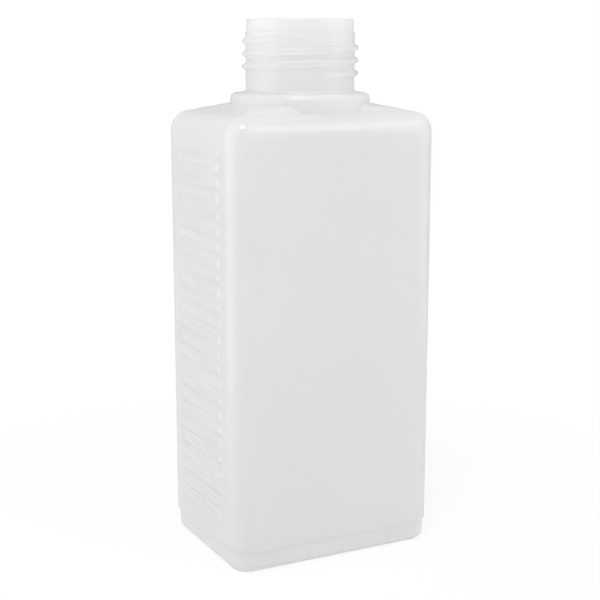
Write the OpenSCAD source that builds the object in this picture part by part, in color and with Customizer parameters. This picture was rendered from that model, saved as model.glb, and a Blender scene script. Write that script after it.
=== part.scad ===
// Square wide-mouth bottle of about 500 ml, blow-moulded in one piece from polyethylene.
// The origin is the middle of the base, +Z runs up the neck, and the two narrow sides
// that carry the grip ribs face -X and +X. Sizes are in millimetres.

/* [Body] */
// Width over the two ribbed sides, along X
body_w = 72.4; // [62:0.2:90]
// Depth over the two plain broad sides, along Y
body_d = 54; // [50:0.5:70]
// Height of the body, from the standing surface to the top of the shoulder
body_h = 147.2; // [110:0.2:190]
// Radius of the four upright edges
corner_r = 6.8; // [5:0.1:9]
// Wall of the body, the same all over
wall = 1.1; // [0.8:0.1:1.6]

/* [Shoulder] */
// Radius of the rounding between the sides and the shoulder
shoulder_r = 6.6; // [4:0.1:7]
// Fall of the hipped shoulder, from the neck to its four corners
shoulder_fall = 3.4; // [2:0.1:8]

/* [Foot] */
// Height of the stepped-in foot below the main body
foot_h = 7.5; // [5:0.1:12]
// Step of the foot, inwards from the sides
foot_step = 0.75; // [0.3:0.05:1.2]
// Rounding of the edge where the main body ends above that step
step_r = 0.8; // [0.4:0.1:0.8]
// Radius of the rounding round the standing edge
foot_r = 3; // [2:0.1:4]
// Rise of the pushed-up base above the standing ring
push_up = 1.6; // [0.8:0.1:3]
// Width of the standing ring, from the side of the foot to the pushed-up part
stand_w = 7; // [5:0.1:9]
// Length of the seam across the base, where the mould pinched the soft tube shut
seam_w = 42; // [30:1:46]
// Thickness of that seam
seam_t = 0.8; // [0.6:0.1:1.2]
// How far the seam stands down from the pushed-up base
seam_h = 0.5; // [0.3:0.1:0.6]

/* [Grip ribs] */
// Distance from one rib to the next
rib_pitch = 4.9; // [4:0.1:7]
// Height of a rib where it leaves the side
rib_h = 3.9; // [3:0.1:3.9]
// How far a rib stands out from the side
rib_relief = 0.6; // [0.4:0.05:0.9]
// Distance from the end of a rib to the rounding of the upright edge
rib_end_gap = 3.4; // [2:0.1:6]
// Plain band between the foot and the lowest rib
rib_foot_gap = 6.1; // [2:0.1:20]
// Least plain band between the top rib and the rounding of the shoulder
rib_top_gap = 2; // [1:0.1:20]

/* [Neck] */
// Height of the neck, from the top of the shoulder to the rim
neck_h = 25.3; // [24:0.1:32]
// Outer diameter of the plain neck, at the root of the thread
neck_d = 34.9; // [33:0.1:38]
// Bore of the neck
bore_d = 30.8; // [26:0.1:31]
// Outer diameter of the land above the thread, up to the rim
land_d = 34.2; // [33:0.1:34.8]
// Height of that land
land_h = 3.8; // [2:0.1:4]
// Rounding of the rim, outside and inside
rim_r = 0.4; // [0.2:0.1:0.6]
// Fillet where the neck rises from the collar
neck_fillet = 0.8; // [0.4:0.1:1.2]

/* [Collar] */
// Diameter of the collar at the foot of the neck
collar_d = 44.8; // [42:0.1:46]
// Height of the collar above the top of the shoulder
collar_h = 2.6; // [2:0.1:4]
// Rounding of the upper edge of the collar
collar_r = 1.8; // [1:0.1:2]
// Fall of the upper face of the collar, from the neck to that rounding
collar_fall = 0.3; // [0.1:0.1:0.4]

/* [Thread] */
// Outer diameter over the thread
thread_d = 37.2; // [36.5:0.1:38.5]
// Rise of the thread in one turn
thread_pitch = 4; // [3.5:0.1:4.5]
// Number of turns
thread_turns = 3.04; // [1:0.01:3.2]
// Height of the lower end of the thread above the top of the shoulder
thread_z = 7.7; // [6:0.1:9]
// Width of the ridge at the neck
thread_root = 2.3; // [1.6:0.1:2.6]
// Width of the ridge at its crest
thread_crest = 0.8; // [0.4:0.1:1.2]

/* [Hidden] */
$fn = 96;

// Straight pieces in each quarter of a rounded edge, and sides of the posts inside a hull
edge_steps = 8;
post_fn = 40;
// Overlap that makes joined solids share some volume
overlap = 0.4;
// Polar angle of the lower end of the thread, the angles over which its lower end rises from
// the neck and its upper end runs out, and the angle between two sections of it
thread_start = 262;
thread_rise = 10;
thread_runout = 40;
thread_step = 8;

total_h = body_h + neck_h;
post_top = body_h - shoulder_fall;
collar_top = body_h + collar_h;
// The shoulder rises to a disc as wide as the neck
disc_h = 0.5;
// A rib is the outer part of a round bar whose axis lies inside the side
rib_r = (pow(rib_relief, 2) + pow(rib_h / 2, 2)) / (2 * rib_relief);
rib_sink = rib_r - rib_relief;
rib_span = body_d - 2 * corner_r - 2 * rib_end_gap - rib_h;
rib_low = foot_h + rib_foot_gap + rib_h / 2;
rib_high = post_top - min(shoulder_r, corner_r) - rib_top_gap - rib_h / 2;
rib_count = 1 + floor((rib_high - rib_low) / rib_pitch);

// Points of an arc in a profile, about [x, z], from one angle to another
function arc(x, z, r, from, to, steps = edge_steps) =
    [for (i = [0 : steps]) let (a = from + (to - from) * i / steps) [x + r * cos(a), z + r * sin(a)]];

// Stands a turned post of the given profile at each corner of a w by d rectangle
module corner_posts(w, d, r, profile) {
    for (x = [-1, 1], y = [-1, 1])
        translate([x * (w / 2 - r), y * (d / 2 - r), 0])
            rotate_extrude($fn = post_fn) polygon(profile);
}

// The main body and its hipped shoulder, moved inwards by t all round. Its lower end slopes in
// to the foot at 45 degrees, below a rounded edge.
module main_form(t) {
    r = corner_r - t;
    edge = min(shoulder_r, corner_r) - t;
    low = foot_h - foot_step + t;
    top = post_top - t;
    profile = concat([[0, low], [r - foot_step, low]],
                     arc(r - step_r, foot_h + t + step_r * tan(45 / 2), step_r, -45, 0, 3),
                     arc(r - edge, top - edge, edge, 0, 90), [[0, top]]);
    hull() {
        corner_posts(body_w - 2 * t, body_d - 2 * t, r, profile);
        translate([0, 0, body_h - t - disc_h])
            cylinder(h = disc_h, d = neck_d - t, $fn = 2 * post_fn);
    }
}

// The stepped-in foot with its rounded standing edge, moved inwards by t all round
module foot_form(t) {
    inset = foot_step + t;
    r = corner_r - inset;
    edge = foot_r - t;
    profile = concat([[0, t]], arc(r - edge, edge + t, edge, -90, 0),
                     [[r, foot_h + overlap + t], [0, foot_h + overlap + t]]);
    hull() corner_posts(body_w - 2 * inset, body_d - 2 * inset, r, profile);
}

// The pushed-up middle of the base, as the block that it leaves free, grown by t
module push_up_form(t) {
    inset = foot_step + stand_w - t;
    r = corner_r;
    profile = [[0, -overlap], [r, -overlap], [r - push_up - t, push_up + t], [0, push_up + t]];
    hull() corner_posts(body_w - 2 * inset, body_d - 2 * inset, r, profile);
}

// The pinched seam across the middle of the base, as a round-ended bar partly in the wall
module pinch_seam() {
    r = seam_t / 2;
    span = seam_w - seam_t;
    translate([0, 0, push_up - seam_h + r]) {
        rotate([0, 90, 0]) cylinder(h = span, r = r, center = true);
        for (side = [-1, 1]) translate([side * span / 2, 0, 0]) sphere(r = r);
    }
}

// The grip ribs of both narrow sides, as round-ended bars, thinner by t all round
module rib_bars(t) {
    r = rib_r - t;
    for (side = [-1, 1], i = [0 : rib_count - 1])
        translate([side * (body_w / 2 - rib_sink), 0, rib_low + i * rib_pitch]) {
            rotate([90, 0, 0]) cylinder(h = rib_span, r = r, center = true);
            for (y = [-1, 1]) translate([0, y * rib_span / 2, 0]) sphere(r = r);
        }
}

// The collar, moved inwards by t, from inside the shoulder up to its rounded edge, which is
// tighter on the inside
module collar_form(t) {
    r = collar_d / 2 - t;
    edge = collar_r - t / 2;
    low = post_top - corner_r;
    top = collar_top - t;
    rotate_extrude()
        polygon(concat([[0, low], [r - shoulder_fall, low], [r, low + shoulder_fall]],
                       arc(r - edge, top - collar_fall - edge, edge, 0, 90),
                       [[neck_d / 2 + neck_fillet, top], [0, top]]));
}

// The neck as it is turned: a fillet at its foot, plain at the thread, a slimmer land above
// it, a rounded rim
module neck_form() {
    r = neck_d / 2;
    land = land_d / 2;
    rotate_extrude()
        polygon(concat([[0, body_h], [r + neck_fillet, body_h]],
                       arc(r + neck_fillet, collar_top + neck_fillet, neck_fillet, 270, 180),
                       [[r, total_h - land_h - (r - land)], [land, total_h - land_h]],
                       arc(land - rim_r, total_h - rim_r, rim_r, 0, 90), [[0, total_h]]));
}

// The space in the neck, which widens round the inside of the rim
module bore_form() {
    r = bore_d / 2;
    rotate_extrude()
        polygon(concat([[0, post_top], [r, post_top]],
                       arc(r + rim_r, total_h - rim_r, rim_r, 180, 90),
                       [[r + rim_r, total_h + overlap], [0, total_h + overlap]]));
}

// How much of its depth the thread has at angle a, from none at its ends to all
function thread_depth(a) = min(1, a / thread_rise, (360 * thread_turns - a) / thread_runout);

// One section of the thread ridge, at angle a along it
function thread_section(a) =
    let (root = neck_d / 2 - overlap,
         crest = neck_d / 2 - overlap / 2 + thread_depth(a) * ((thread_d - neck_d) / 2 + overlap / 2),
         z = body_h + thread_z + thread_pitch * a / 360,
         turn = thread_start + a)
    [for (p = [[root, -thread_root / 2], [crest, -thread_crest / 2],
               [crest, thread_crest / 2], [root, thread_root / 2]])
        [p[0] * cos(turn), p[0] * sin(turn), z + p[1]]];

// The right-handed screw thread, as one ridge swept up the neck
module thread() {
    steps = ceil(360 * thread_turns / thread_step);
    sections = [for (i = [0 : steps]) thread_section(360 * thread_turns * i / steps)];
    sides = len(sections[0]);
    polyhedron(points = [for (s = sections) for (p = s) p],
               faces = concat([[for (j = [0 : sides - 1]) sides - 1 - j]],
                              [for (i = [0 : steps - 1], j = [0 : sides - 1])
                                  let (a = i * sides + j, b = i * sides + (j + 1) % sides)
                                  [a, b, b + sides, a + sides]],
                              [[for (j = [0 : sides - 1]) steps * sides + j]]));
}

// The space inside the bottle, open through the neck
module inside() {
    difference() {
        union() {
            main_form(wall);
            foot_form(wall);
            rib_bars(wall);
            collar_form(wall);
        }
        push_up_form(wall);
    }
    bore_form();
}

module bottle() {
    color([0.9, 0.91, 0.9, 0.8])
    union() {
        difference() {
            union() {
                main_form(0);
                foot_form(0);
                rib_bars(0);
                collar_form(0);
                neck_form();
                thread();
            }
            push_up_form(0);
            inside();
        }
        pinch_seam();
    }
}

bottle();
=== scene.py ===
import math

import bpy
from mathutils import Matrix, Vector


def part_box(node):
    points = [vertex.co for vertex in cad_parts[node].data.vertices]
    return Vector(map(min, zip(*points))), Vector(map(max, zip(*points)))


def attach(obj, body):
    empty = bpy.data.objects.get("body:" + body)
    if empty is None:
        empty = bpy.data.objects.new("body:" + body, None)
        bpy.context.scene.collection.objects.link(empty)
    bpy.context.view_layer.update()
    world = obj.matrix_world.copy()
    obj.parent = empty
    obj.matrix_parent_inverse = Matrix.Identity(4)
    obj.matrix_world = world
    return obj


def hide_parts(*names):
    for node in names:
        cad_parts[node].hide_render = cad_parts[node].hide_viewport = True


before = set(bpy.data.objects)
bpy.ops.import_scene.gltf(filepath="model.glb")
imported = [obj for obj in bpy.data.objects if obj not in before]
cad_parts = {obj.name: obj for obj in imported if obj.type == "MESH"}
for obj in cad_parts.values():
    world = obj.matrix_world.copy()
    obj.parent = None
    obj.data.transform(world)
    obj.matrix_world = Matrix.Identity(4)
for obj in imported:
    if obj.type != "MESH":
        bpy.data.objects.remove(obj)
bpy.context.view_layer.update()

low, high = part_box("bottle")
mm = 0.001
bpy.ops.object.select_all(action="DESELECT")

# Camera. It stands level with the rim of the bottle, less than half a metre away, and looks
# down a little, from the side of the corner between one broad side and one ribbed side.
camera_azimuth = math.radians(-27.34)
camera_distance = 421.6 * mm
camera_height = 166.3 * mm
camera_pitch = math.radians(11.41)
camera_data = bpy.data.cameras.new("camera")
camera_data.lens = 77.6
camera_data.sensor_width = 36
camera_data.clip_start = 0.01
camera = bpy.data.objects.new("camera", camera_data)
camera.location = (camera_distance * math.sin(camera_azimuth),
                   -camera_distance * math.cos(camera_azimuth), camera_height)
camera.rotation_euler = (math.pi / 2 - camera_pitch, 0, camera_azimuth)
bpy.context.scene.collection.objects.link(camera)
bpy.context.scene.camera = camera
bpy.context.scene.view_settings.view_transform = "Standard"


# The blown form. The bottle is blown from a tube of polyethylene inside a two-part mould, so
# its outside and its inside are the same form, one wall apart: a box with rounded upright
# edges, grip ribs on its narrow sides, a hipped shoulder, a stepped foot and a raised base.
rib_relief = 0.6 * mm
body_w = high.x - low.x - 2 * rib_relief
body_d = high.y - low.y
total_h = high.z
neck_h = 25.3 * mm
body_h = total_h - neck_h
corner_r = 6.8 * mm
corner_cuts = 12
wall = 1.1 * mm
shoulder_r = 6.6 * mm
shoulder_cuts = 8
shoulder_fall = 3.4 * mm
hip_cuts = 3
foot_h = 7.5 * mm
foot_step = 0.75 * mm
foot_step_edge = 0.3 * mm
foot_step_cuts = 3
foot_r = 3 * mm
foot_cuts = 6
stand_flat = 2.6 * mm
push_up = 1.6 * mm
# Each step up to the raised middle: the scale of its outline and its share of the rise
push_up_steps = ((0.98, 0.0625), (0.975, 0.25), (0.975, 0.375), (0.975, 0.25), (0.98, 0.0625))
rib_pitch = 4.9 * mm
rib_h = 3.9 * mm
rib_span = 29.5 * mm
rib_count = 25
rib_foot_gap = 6.1 * mm
rib_low = foot_h + rib_foot_gap + rib_h / 2
rib_points = 24
# Each step of a rib: its share of the half height inwards and its share of the relief out
rib_steps = ((0.08, 0.06), (0.08, 0.15), (0.12, 0.24), (0.14, 0.23), (0.16, 0.17), (0.17, 0.10),
             (0.15, 0.05))
# Inside the wall half a rib is less high by this share of the wall
rib_narrowing = 0.34
neck_d = 34.9 * mm
seam_w = 42 * mm
seam_t = 0.8 * mm
seam_drop = 0.5 * mm
seam_points = 20
seam_end = 0.45 * seam_t
seam_cuts = 4
# Points nearer than this are one, and a face lies square to an axis when its normal is this
# near to the axis, where 1 is exactly along it
same_point = 0.005 * mm
square = 0.999


def edit(obj, mode):
    """Opens one object in edit mode with nothing selected."""
    bpy.ops.object.select_all(action="DESELECT")
    bpy.context.view_layer.objects.active = obj
    obj.select_set(True)
    bpy.ops.object.mode_set(mode="EDIT")
    bpy.ops.mesh.select_mode(type=mode)
    bpy.ops.mesh.select_all(action="DESELECT")


def pick(obj, kind, wanted):
    """Selects the vertices, edges or faces of the object in edit mode that wanted() accepts."""
    bpy.ops.mesh.select_all(action="DESELECT")
    bpy.ops.object.mode_set(mode="OBJECT")
    points = obj.data.vertices
    for part in getattr(obj.data, kind):
        if kind == "edges":
            part.select = wanted(points[part.vertices[0]].co, points[part.vertices[1]].co)
        elif kind == "polygons":
            part.select = wanted(part.center, part.normal)
        else:
            part.select = wanted(part.co)
    bpy.ops.object.mode_set(mode="EDIT")


def near(a, b):
    """True if two lengths are the same to a hundredth of a millimetre."""
    return abs(a - b) < 0.01 * mm


def join(target, *others):
    """Joins objects into the first one and merges the points that they share."""
    bpy.ops.object.select_all(action="DESELECT")
    for obj in (target, *others):
        obj.select_set(True)
    bpy.context.view_layer.objects.active = target
    bpy.ops.object.join()
    edit(target, "VERT")
    bpy.ops.mesh.select_all(action="SELECT")
    bpy.ops.mesh.remove_doubles(threshold=same_point)
    bpy.ops.object.mode_set(mode="OBJECT")
    return target


def copy_of(obj, place, turn=0.0):
    """A copy with its own mesh, turned about the upright axis and moved, with both applied."""
    twin = obj.copy()
    twin.data = obj.data.copy()
    bpy.context.scene.collection.objects.link(twin)
    twin.location = place
    twin.rotation_euler = (0, 0, turn)
    bpy.ops.object.select_all(action="DESELECT")
    bpy.context.view_layer.objects.active = twin
    twin.select_set(True)
    bpy.ops.object.transform_apply(location=True, rotation=True, scale=True)
    return twin


def rib_tile(t):
    """One pitch of a ribbed side, facing +X, with its rib pressed out of it."""
    half_h = rib_h / 2 - rib_narrowing * t
    bpy.ops.mesh.primitive_circle_add(vertices=rib_points, radius=half_h, rotation=(0, math.pi / 2, 0))
    tile = bpy.context.object
    bpy.ops.object.transform_apply(location=False, rotation=True, scale=False)
    edit(tile, "VERT")
    for side in (-1, 1):
        pick(tile, "vertices", lambda co: co.y * side > same_point)
        bpy.ops.transform.translate(value=(0, side * rib_span / 2, 0))
    bpy.ops.mesh.select_all(action="SELECT")
    bpy.ops.mesh.edge_face_add()
    for inwards, out in rib_steps:
        bpy.ops.mesh.inset(thickness=inwards * half_h, depth=0)
        bpy.ops.transform.translate(value=(out * rib_relief, 0, 0))
    bpy.ops.mesh.select_all(action="DESELECT")
    bpy.ops.mesh.primitive_plane_add(size=1, rotation=(0, math.pi / 2, 0))
    bpy.ops.transform.resize(value=(1, body_d - 2 * corner_r, rib_pitch), center_override=(0, 0, 0))
    bpy.ops.mesh.delete(type="ONLY_FACE")
    pick(tile, "edges", lambda a, b: near(a.x, 0) and near(b.x, 0))
    bpy.ops.mesh.fill()
    bpy.ops.object.mode_set(mode="OBJECT")
    return tile


def pinch_seam():
    """The round-ended seam under the base, where the mould pinched the soft tube shut."""
    bpy.ops.mesh.primitive_cylinder_add(vertices=seam_points, radius=seam_t / 2, depth=seam_w,
                                        location=(0, 0, push_up - seam_drop + seam_t / 2),
                                        rotation=(0, math.pi / 2, 0))
    seam = bpy.context.object
    bpy.ops.object.transform_apply(location=True, rotation=True, scale=True)
    edit(seam, "EDGE")
    pick(seam, "edges", lambda a, b: near(a.x, b.x) and near(abs(a.x), seam_w / 2))
    bpy.ops.mesh.bevel(offset=seam_end, segments=seam_cuts, affect="EDGES")
    bpy.ops.object.mode_set(mode="OBJECT")
    return seam


def blown_form(name, t):
    """The closed form of the body, moved inwards by t all round."""
    top = body_h - shoulder_fall - t
    seat = foot_h + t
    w = body_w - 2 * t
    d = body_d - 2 * t
    bpy.ops.mesh.primitive_cube_add(size=1, location=(0, 0, (top + seat) / 2),
                                    scale=(w, d, top - seat))
    form = bpy.context.object
    form.name = name
    bpy.ops.object.transform_apply(location=True, rotation=True, scale=True)
    edit(form, "EDGE")
    pick(form, "edges", lambda a, b: not near(a.z, b.z))
    bpy.ops.mesh.bevel(offset=corner_r - t, segments=corner_cuts, affect="EDGES")
    # The rows of the ribbed sides run all the way round
    for row in range(rib_count + 1):
        bpy.ops.mesh.select_all(action="SELECT")
        level = rib_low + (row - 0.5) * rib_pitch
        bpy.ops.mesh.bisect(plane_co=(0, 0, level), plane_no=(0, 0, 1))
    # Foot: a step inwards, a short upright side, a rounded edge and a raised middle
    bpy.ops.mesh.select_mode(type="FACE")
    pick(form, "polygons", lambda centre, normal: normal.z < -square)
    bpy.ops.mesh.inset(thickness=foot_step, depth=foot_step)
    bpy.ops.mesh.extrude_region_move(
        TRANSFORM_OT_translate={"value": (0, 0, t - (seat - foot_step))})
    bpy.ops.mesh.region_to_loop()
    bpy.ops.mesh.bevel(offset=foot_r - t, segments=foot_cuts, affect="EDGES")
    bpy.ops.mesh.select_mode(type="FACE")
    pick(form, "polygons", lambda centre, normal: near(centre.z, t) and normal.z < -square)
    bpy.ops.mesh.inset(thickness=stand_flat - t, depth=0)
    for scale, rise in push_up_steps:
        bpy.ops.mesh.extrude_region_move(TRANSFORM_OT_translate={"value": (0, 0, rise * push_up)})
        bpy.ops.transform.resize(value=(scale, scale, 1), center_override=(0, 0, t))
    bpy.ops.mesh.select_mode(type="EDGE")
    pick(form, "edges", lambda a, b: near(a.z, b.z) and
         (near(a.z, seat) or near(a.z, seat - foot_step)))
    bpy.ops.mesh.bevel(offset=foot_step_edge, segments=foot_step_cuts, affect="EDGES")
    # Shoulder: a rounded edge, then four hips that rise to a circle as wide as the neck
    bpy.ops.mesh.select_mode(type="FACE")
    pick(form, "polygons", lambda centre, normal: near(centre.z, top) and normal.z > square)
    bpy.ops.mesh.region_to_loop()
    bpy.ops.mesh.bevel(offset=shoulder_r - t, segments=shoulder_cuts, affect="EDGES")
    bpy.ops.mesh.select_mode(type="FACE")
    pick(form, "polygons", lambda centre, normal: near(centre.z, top) and normal.z > square)
    bpy.ops.mesh.delete(type="ONLY_FACE")
    sides = 4 * (corner_cuts + 1)
    bpy.ops.mesh.primitive_circle_add(vertices=sides, radius=(neck_d - t) / 2,
                                      location=(0, 0, body_h - t), rotation=(0, 0, math.pi / sides))
    bpy.ops.mesh.edge_face_add()
    bpy.ops.mesh.select_mode(type="EDGE")
    pick(form, "edges", lambda a, b: near(a.z, b.z) and
         (near(a.z, top) or near(a.z, body_h - t)))
    bpy.ops.mesh.bridge_edge_loops(number_cuts=hip_cuts)
    # Ribs: the plain rows of the narrow sides make room for the ribbed ones
    bpy.ops.mesh.select_mode(type="FACE")
    pick(form, "polygons", lambda centre, normal: abs(normal.x) > square and
         rib_low - rib_pitch / 2 < centre.z < rib_low + (rib_count - 0.5) * rib_pitch)
    bpy.ops.mesh.delete(type="FACE")
    bpy.ops.object.mode_set(mode="OBJECT")
    tile = rib_tile(t)
    tiles = [copy_of(tile, (side * w / 2, 0, rib_low + row * rib_pitch), turn)
             for side, turn in ((-1, math.pi), (1, 0)) for row in range(rib_count)]
    bpy.data.objects.remove(tile)
    join(form, *tiles)
    edit(form, "FACE")
    bpy.ops.mesh.select_all(action="SELECT")
    bpy.ops.mesh.normals_make_consistent(inside=False)
    bpy.ops.object.mode_set(mode="OBJECT")
    return form


bottle = blown_form("bottle_shell", 0)
inside = blown_form("inside", wall)


# Collar and neck. The neck is pressed to size round a pin while the tube is still soft, so it
# is truly round: a plain cylinder, a slimmer land above the thread and a rounded rim. The
# collar at its foot is the step where the pressed neck meets the blown shoulder.
collar_r = 22.4 * mm
collar_top = body_h + 2.6 * mm
collar_edge = 1.8 * mm
collar_slope = 0.3 * mm
collar_taper = 3 * mm
collar_foot = body_h - 9 * mm
collar_inner_edge = 1.05 * mm
neck_fillet = 0.8 * mm
land_r = 17.1 * mm
land_low = total_h - 3.8 * mm
rim_edge = 0.4 * mm
bore_r = 15.4 * mm
bore_foot_edge = 1 * mm
bore_past_rim = 1 * mm
turned_cuts = 128
weld_gap = 0.002 * mm


def arc(r, z, radius, start, end, cuts=6):
    """Points of an arc in a turned profile, about (r, z), from one angle to the other."""
    turns = [math.radians(start + (end - start) * i / cuts) for i in range(cuts + 1)]
    return [(r + radius * math.cos(a), z + radius * math.sin(a)) for a in turns]


def turned(name, profile):
    """A closed solid turned about the upright axis from a profile of (radius, height) points."""
    r, z = profile[0]
    bpy.ops.mesh.primitive_plane_add(size=mm, location=(r, 0, z))
    solid = bpy.context.object
    solid.name = name
    bpy.ops.object.transform_apply(location=True, rotation=True, scale=True)
    edit(solid, "VERT")
    bpy.ops.mesh.select_all(action="SELECT")
    bpy.ops.mesh.merge(type="CENTER")
    for new_r, new_z in profile[1:]:
        bpy.ops.mesh.extrude_region_move(
            TRANSFORM_OT_translate={"value": (new_r - r, 0, new_z - z)})
        r, z = new_r, new_z
    bpy.ops.mesh.select_all(action="SELECT")
    bpy.ops.mesh.spin(steps=turned_cuts, angle=2 * math.pi, center=(0, 0, 0), axis=(0, 0, 1))
    bpy.ops.mesh.select_all(action="SELECT")
    bpy.ops.mesh.remove_doubles(threshold=weld_gap)
    bpy.ops.mesh.normals_make_consistent(inside=False)
    bpy.ops.object.mode_set(mode="OBJECT")
    return solid


def combine(target, other, operation):
    """Adds the other closed solid to the target, or takes it away."""
    bpy.ops.object.select_all(action="DESELECT")
    bpy.context.view_layer.objects.active = target
    target.select_set(True)
    bpy.ops.object.modifier_add(type="BOOLEAN")
    cut = target.modifiers[-1]
    cut.operation = operation
    cut.solver = "EXACT"
    cut.object = other
    bpy.ops.object.modifier_apply(modifier=cut.name)
    bpy.data.objects.remove(other)


neck_r = neck_d / 2
neck = turned("neck", [
    (0, collar_foot), (collar_r - collar_taper, collar_foot), (collar_r, collar_foot + collar_taper),
    *arc(collar_r - collar_edge, collar_top - collar_slope - collar_edge, collar_edge, 0, 80),
    *arc(neck_r + neck_fillet, collar_top + neck_fillet, neck_fillet, 260, 180, 4),
    (neck_r, land_low - (neck_r - land_r)), (land_r, land_low),
    *arc(land_r - rim_edge, total_h - rim_edge, rim_edge, 0, 90, 4), (0, total_h)])
hollow_r = collar_r - wall
hollow_top = collar_top - wall
bore = turned("bore", [
    (0, collar_foot), (hollow_r - collar_taper, collar_foot), (hollow_r, collar_foot + collar_taper),
    *arc(hollow_r - collar_inner_edge, hollow_top - collar_inner_edge, collar_inner_edge, 0, 90),
    *arc(bore_r + bore_foot_edge, hollow_top + bore_foot_edge, bore_foot_edge, 270, 180, 4),
    *arc(bore_r + rim_edge, total_h - rim_edge, rim_edge, 180, 92, 4),
    (bore_r + rim_edge, total_h + bore_past_rim), (0, total_h + bore_past_rim)])
combine(inside, bore, "UNION")


# Screw thread. One right-handed ridge, pressed with the neck, that climbs just over three
# turns. Its flanks are steep and its crest is rounded, and both of its ends run out softly.
thread_r = 18.6 * mm
thread_pitch = 4 * mm
thread_turns = 3.04
thread_low = body_h + 7.7 * mm
thread_start = math.radians(262)
thread_root = 2.3 * mm
thread_crest = 1.3 * mm
crest_edge = 0.35 * mm
thread_sink = 0.5 * mm
thread_steps = 160
# The ends fade over so many sections, down to the neck and a little into it
lower_fade = 4
upper_fade = 24
fade_depth = 0.075


def make_thread():
    """Sweeps the section of the ridge up the neck and draws in its two ends."""
    sunk_r = neck_r - thread_sink
    crest_r = thread_r - crest_edge
    below = thread_low - thread_root / 2
    above = thread_low + thread_root / 2
    half_crest = thread_crest / 2 - crest_edge
    profile = [(sunk_r, below), (neck_r, below),
               *arc(crest_r, thread_low - half_crest, crest_edge, -70, 0, 3),
               *arc(crest_r, thread_low + half_crest, crest_edge, 0, 70, 3),
               (neck_r, above), (sunk_r, above)]
    r, z = profile[0]
    bpy.ops.mesh.primitive_plane_add(size=mm, location=(r, 0, z))
    ridge = bpy.context.object
    ridge.name = "thread"
    bpy.ops.object.transform_apply(location=True, rotation=True, scale=True)
    edit(ridge, "VERT")
    bpy.ops.mesh.select_all(action="SELECT")
    bpy.ops.mesh.merge(type="CENTER")
    for new_r, new_z in profile[1:]:
        bpy.ops.mesh.extrude_region_move(
            TRANSFORM_OT_translate={"value": (new_r - r, 0, new_z - z)})
        r, z = new_r, new_z
    bpy.ops.mesh.select_all(action="SELECT")
    bpy.ops.mesh.edge_face_add()
    bpy.ops.mesh.delete(type="ONLY_FACE")
    bpy.ops.object.mode_set(mode="OBJECT")
    bpy.ops.object.modifier_add(type="SCREW")
    sweep = ridge.modifiers[-1]
    sweep.angle = 2 * math.pi * thread_turns
    sweep.screw_offset = thread_pitch * thread_turns
    sweep.steps = thread_steps
    sweep.render_steps = thread_steps
    sweep.use_merge_vertices = False
    bpy.ops.object.modifier_apply(modifier=sweep.name)
    ring = len(profile)
    rings = len(ridge.data.vertices) // ring
    for i, point in enumerate(ridge.data.vertices):
        place = i // ring
        share = min(1, place / lower_fade, (rings - 1 - place) / upper_fade)
        draw_in = 1 - fade_depth * (1 - math.sin(share * math.pi / 2))
        point.co.x *= draw_in
        point.co.y *= draw_in
    edit(ridge, "EDGE")
    bpy.ops.mesh.select_non_manifold()
    bpy.ops.mesh.edge_face_add()
    bpy.ops.mesh.select_all(action="SELECT")
    bpy.ops.mesh.normals_make_consistent(inside=False)
    bpy.ops.transform.rotate(value=-thread_start, orient_axis="Z", center_override=(0, 0, 0))
    bpy.ops.object.mode_set(mode="OBJECT")
    return ridge


# The one piece. The neck joins the body, the hollow is taken out and the seam is added below.
sharp_angle = math.radians(34)
combine(neck, make_thread(), "UNION")
combine(bottle, neck, "UNION")
combine(bottle, inside, "DIFFERENCE")
combine(bottle, pinch_seam(), "UNION")
edit(bottle, "VERT")
bpy.ops.mesh.select_all(action="SELECT")
bpy.ops.mesh.remove_doubles(threshold=weld_gap)
bpy.ops.object.mode_set(mode="OBJECT")
bpy.ops.object.shade_smooth_by_angle(angle=sharp_angle)
bpy.ops.object.modifier_add(type="WEIGHTED_NORMAL")
bottle.modifiers[-1].keep_sharp = True
bpy.ops.object.modifier_apply(modifier=bottle.modifiers[-1].name)


# Plastic. Undyed polyethylene: milky, waxy and slightly uneven, so light that falls on one
# wall glows through the others. The mould leaves a satin skin and a hairline parting line.
def node_of(nodes, kind, **inputs):
    """Adds a node and sets its inputs by name, with underscores for spaces."""
    node = nodes.new(kind)
    for name, value in inputs.items():
        node.inputs[name.replace("_", " ")].default_value = value
    return node


def bump(nodes, link, height, distance, strength, below=None):
    """Adds one layer of surface relief over the layer below it."""
    layer = node_of(nodes, "ShaderNodeBump", Distance=distance, Strength=strength)
    link(height, layer.inputs["Height"])
    if below:
        link(below, layer.inputs["Normal"])
    return layer.outputs["Normal"]


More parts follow.
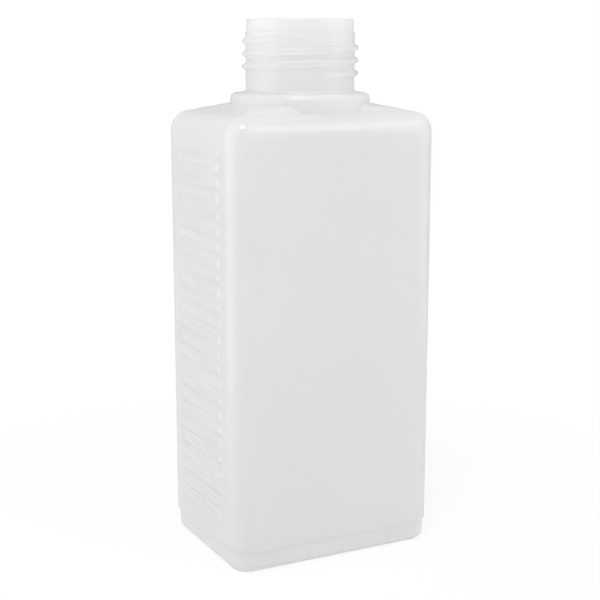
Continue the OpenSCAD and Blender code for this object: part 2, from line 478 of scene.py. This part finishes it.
def milky_polyethylene():
    """The plastic of the whole bottle, lit from both faces of its thin wall."""
    material = bpy.data.materials.new("milky_polyethylene")
    material.use_nodes = True
    nodes = material.node_tree.nodes
    link = material.node_tree.links.new
    nodes.clear()
    out = nodes.new("ShaderNodeOutputMaterial")
    place = nodes.new("ShaderNodeTexCoord").outputs["Object"]

    # Colour: near white, in very faint clouds
    cloud = node_of(nodes, "ShaderNodeTexNoise", Scale=22, Detail=3)
    link(place, cloud.inputs["Vector"])
    tint = nodes.new("ShaderNodeValToRGB")
    tint.color_ramp.elements[0].position = 0.35
    tint.color_ramp.elements[0].color = (0.97, 0.97, 0.972, 1)
    tint.color_ramp.elements[1].position = 0.72
    tint.color_ramp.elements[1].color = (0.98, 0.98, 0.978, 1)
    link(cloud.outputs["Fac"], tint.inputs["Fac"])

    # Gloss: satin, a little duller where those clouds are lighter
    haze = node_of(nodes, "ShaderNodeMapRange", To_Min=0.13, To_Max=0.22)
    link(cloud.outputs["Fac"], haze.inputs["Value"])

    # Relief: slow waves of the blown wall, fine grain of the mould and its parting line
    wave = node_of(nodes, "ShaderNodeTexNoise", Scale=70, Detail=1)
    link(place, wave.inputs["Vector"])
    grain = node_of(nodes, "ShaderNodeTexNoise", Scale=1400, Detail=2)
    link(place, grain.inputs["Vector"])
    across = nodes.new("ShaderNodeSeparateXYZ")
    link(place, across.inputs["Vector"])
    off_line = nodes.new("ShaderNodeMath")
    off_line.operation = "ABSOLUTE"
    link(across.outputs["Y"], off_line.inputs[0])
    line = node_of(nodes, "ShaderNodeMapRange", From_Min=0.06 * mm, From_Max=0.2 * mm,
                   To_Min=1, To_Max=0)
    link(off_line.outputs["Value"], line.inputs["Value"])
    skin = bump(nodes, link, wave.outputs["Fac"], 0.4 * mm, 0.25)
    skin = bump(nodes, link, grain.outputs["Fac"], 0.03 * mm, 0.15, skin)
    skin = bump(nodes, link, line.outputs["Result"], 0.08 * mm, 0.6, skin)

    surface = node_of(nodes, "ShaderNodeBsdfPrincipled", IOR=1.5, Specular_IOR_Level=0.85,
                      Transmission_Weight=0.6)
    link(tint.outputs["Color"], surface.inputs["Base Color"])
    link(haze.outputs["Result"], surface.inputs["Roughness"])
    link(skin, surface.inputs["Normal"])
    glow = nodes.new("ShaderNodeBsdfTranslucent")
    link(tint.outputs["Color"], glow.inputs["Color"])
    link(skin, glow.inputs["Normal"])
    thin_wall = node_of(nodes, "ShaderNodeMixShader", Fac=0.4)
    link(surface.outputs["BSDF"], thin_wall.inputs[1])
    link(glow.outputs["BSDF"], thin_wall.inputs[2])
    link(thin_wall.outputs["Shader"], out.inputs["Surface"])
    # Light that runs a long way inside the wall is dimmed, so the edges look darker
    inside_wall = node_of(nodes, "ShaderNodeVolumeAbsorption", Color=(0.2, 0.2, 0.2, 1), Density=9)
    link(inside_wall.outputs["Volume"], out.inputs["Volume"])
    return material


bottle.data.materials.clear()
bottle.data.materials.append(milky_polyethylene())
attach(bottle, "root")
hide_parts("bottle")


# Studio. White paper under and behind the bottle. A soft card close on the left draws the
# bright line down the near corner, a small lamp high in front sets the spot at its top, and
# a card and a soft lamp on the right fill in the broad side.
bpy.ops.mesh.primitive_plane_add(size=6, location=(0, 0, 0))
floor = bpy.context.object
floor.name = "paper_floor"


def seen_as_white(nodes, link):
    """Gives 1 where the camera sees something itself or through the plastic, and 0 elsewhere."""
    path = nodes.new("ShaderNodeLightPath")
    seen = nodes.new("ShaderNodeMath")
    seen.operation = "MAXIMUM"
    link(path.outputs["Is Camera Ray"], seen.inputs[0])
    link(path.outputs["Is Transmission Ray"], seen.inputs[1])
    return seen.outputs["Value"]


def white_paper():
    """Paper that keeps the shadow near the bottle and fades to plain white further out."""
    material = bpy.data.materials.new("white_paper")
    material.use_nodes = True
    nodes = material.node_tree.nodes
    link = material.node_tree.links.new
    nodes.clear()
    out = nodes.new("ShaderNodeOutputMaterial")
    matt = node_of(nodes, "ShaderNodeBsdfDiffuse", Color=(0.92, 0.92, 0.92, 1))
    white = node_of(nodes, "ShaderNodeEmission", Strength=1)
    place = nodes.new("ShaderNodeTexCoord").outputs["Object"]
    away = nodes.new("ShaderNodeVectorMath")
    away.operation = "LENGTH"
    link(place, away.inputs[0])
    fade = node_of(nodes, "ShaderNodeMapRange", From_Min=0.06, From_Max=0.2, To_Min=0.86, To_Max=1)
    link(away.outputs["Value"], fade.inputs["Value"])
    share = nodes.new("ShaderNodeMath")
    share.operation = "MULTIPLY"
    link(seen_as_white(nodes, link), share.inputs[0])
    link(fade.outputs["Result"], share.inputs[1])
    blend = nodes.new("ShaderNodeMixShader")
    link(share.outputs["Value"], blend.inputs["Fac"])
    link(matt.outputs["BSDF"], blend.inputs[1])
    link(white.outputs["Emission"], blend.inputs[2])
    link(blend.outputs["Shader"], out.inputs["Surface"])
    return material


floor.data.materials.append(white_paper())

world = bpy.data.worlds.new("studio")
bpy.context.scene.world = world
world.use_nodes = True
world_nodes = world.node_tree.nodes
world_link = world.node_tree.links.new
world_nodes.clear()
world_out = world_nodes.new("ShaderNodeOutputWorld")
room = node_of(world_nodes, "ShaderNodeBackground", Color=(1, 1, 1, 1), Strength=0.52)
backdrop = node_of(world_nodes, "ShaderNodeBackground", Color=(1, 1, 1, 1), Strength=1)
world_mix = world_nodes.new("ShaderNodeMixShader")
world_link(seen_as_white(world_nodes, world_link), world_mix.inputs["Fac"])
world_link(room.outputs["Background"], world_mix.inputs[1])
world_link(backdrop.outputs["Background"], world_mix.inputs[2])
world_link(world_mix.outputs["Shader"], world_out.inputs["Surface"])


def lamp(name, place, width, height, brightness):
    """A soft lamp that points at the middle of the bottle, as bright as a lit sheet is."""
    data = bpy.data.lights.new(name, "AREA")
    data.shape = "RECTANGLE"
    data.size = width
    data.size_y = height
    data.energy = brightness * math.pi * width * height
    light = bpy.data.objects.new(name, data)
    light.location = place
    aim = Vector((0, 0, total_h / 2)) - light.location
    light.rotation_euler = aim.to_track_quat("-Z", "Y").to_euler()
    bpy.context.scene.collection.objects.link(light)


lamp("left_card", (-0.19, 0.03, 0.12), 0.17, 0.24, 1.25)
lamp("right_card", (0.34, -0.26, 0.14), 0.26, 0.28, 1)
lamp("spot_lamp", (-0.22, -0.3, 0.72), 0.1, 0.1, 64)
lamp("right_lamp", (0.48, -0.58, 0.66), 0.4, 0.5, 2.4)
